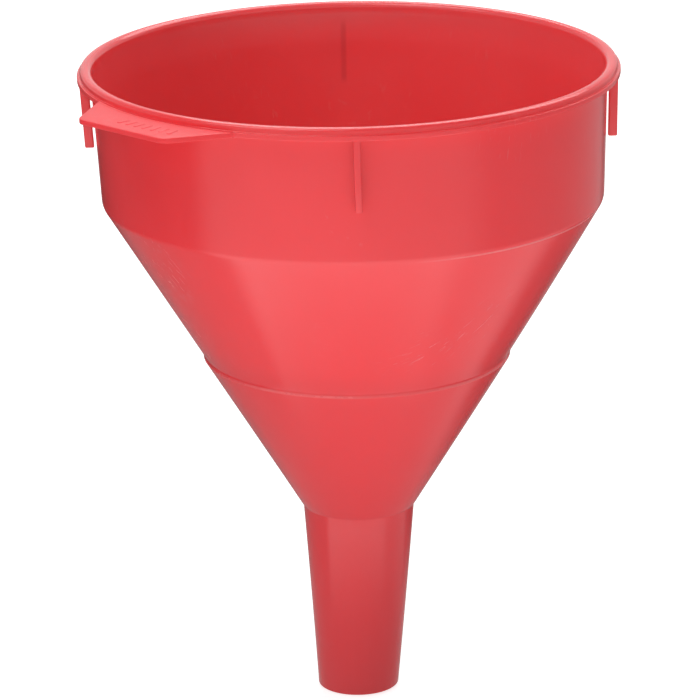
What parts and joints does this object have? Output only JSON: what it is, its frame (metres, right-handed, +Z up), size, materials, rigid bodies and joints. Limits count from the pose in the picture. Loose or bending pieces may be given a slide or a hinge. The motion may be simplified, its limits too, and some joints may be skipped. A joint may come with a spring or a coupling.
{
  "type": "filling funnel",
  "caption": "Plastic filling funnel with a beaded rim, grip tab, deep collar, stepped cone and tapered spout, holding a lift-out wire gauze strainer.",
  "frame": {"origin": "centre of the spout's lower end", "axes": "+Z up along the funnel's axis; the stacking lugs lie on the X and Y axes; the grip tab points between -X and -Y; the strainer's bail turns about a line along X"},
  "size_m": [0.16, 0.16, 0.195],
  "materials": {
    "red_polyethylene": "satin moulded polyethylene, faintly translucent",
    "tinplate": "bright tinplate",
    "brass_gauze": "woven wire",
    "steel_wire": "drawn wire, plated"
  },
  "bodies": {
    "funnel": {"funnel_body": "red_polyethylene"},
    "strainer": {"strainer_hoop": "tinplate", "strainer_gauze": "brass_gauze", "strainer_clamp_ring": "tinplate"},
    "bail": {"strainer_bail": "steel_wire"}
  },
  "joints": [
    {"name": "strainer_lift", "type": "slide", "parent": "funnel", "child": "strainer", "axis": [0, 0, 1], "range_m": [0, 0.11]},
    {"name": "bail_fold", "type": "hinge", "parent": "strainer", "child": "bail", "pos_m": [0, 0, 0.1129], "axis": [1, 0, 0], "range_deg": [0, 180]}
  ]
}
